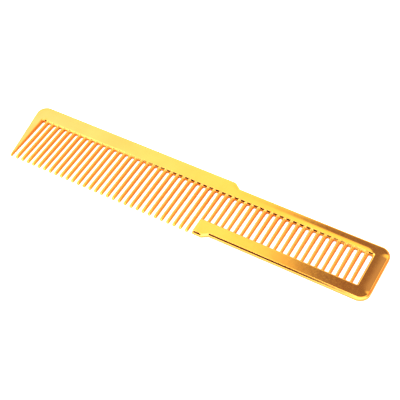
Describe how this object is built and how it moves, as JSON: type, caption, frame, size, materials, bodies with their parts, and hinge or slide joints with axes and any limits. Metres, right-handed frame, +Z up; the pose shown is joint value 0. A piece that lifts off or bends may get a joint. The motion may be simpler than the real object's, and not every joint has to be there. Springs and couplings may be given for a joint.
{
  "type": "hair comb",
  "caption": "Long flat barber's clipper comb in mirror-gold plated plastic: open fine teeth beside teeth closed by a lower rail, a stepped back and a plain squared end.",
  "frame": {"origin": "centre of the comb's footprint, on its underside", "axes": "+X along the comb, from the guard tooth to the plain squared end; +Y from the tooth tips to the spine; +Z up, out of the upper face"},
  "size_m": [0.202, 0.0366, 0.003],
  "materials": {
    "gold_plating": "mirror-gloss gold-coloured electroplate over moulded plastic"
  },
  "bodies": {
    "root": {"spine": "gold_plating", "guard_tooth": "gold_plating", "lower_rail": "gold_plating", "handle_end": "gold_plating", "tooth_01": "gold_plating", "tooth_02": "gold_plating", "tooth_03": "gold_plating", "tooth_04": "gold_plating", "tooth_05": "gold_plating", "tooth_06": "gold_plating", "tooth_07": "gold_plating", "tooth_08": "gold_plating", "tooth_09": "gold_plating", "tooth_10": "gold_plating", "tooth_11": "gold_plating", "tooth_12": "gold_plating", "tooth_13": "gold_plating", "tooth_14": "gold_plating", "tooth_15": "gold_plating", "tooth_16": "gold_plating", "tooth_17": "gold_plating", "tooth_18": "gold_plating", "tooth_19": "gold_plating", "tooth_20": "gold_plating", "tooth_21": "gold_plating", "tooth_22": "gold_plating", "tooth_23": "gold_plating", "tooth_24": "gold_plating", "tooth_25": "gold_plating", "tooth_26": "gold_plating", "tooth_27": "gold_plating", "tooth_28": "gold_plating", "tooth_29": "gold_plating", "tooth_30": "gold_plating", "bar_01": "gold_plating", "bar_02": "gold_plating", "bar_03": "gold_plating", "bar_04": "gold_plating", "bar_05": "gold_plating", "bar_06": "gold_plating", "bar_07": "gold_plating", "bar_08": "gold_plating", "bar_09": "gold_plating", "bar_10": "gold_plating", "bar_11": "gold_plating", "bar_12": "gold_plating", "bar_13": "gold_plating", "bar_14": "gold_plating", "bar_15": "gold_plating", "bar_16": "gold_plating", "bar_17": "gold_plating", "bar_18": "gold_plating", "bar_19": "gold_plating", "bar_20": "gold_plating", "bar_21": "gold_plating", "bar_22": "gold_plating", "bar_23": "gold_plating"}
  },
  "joints": []
}
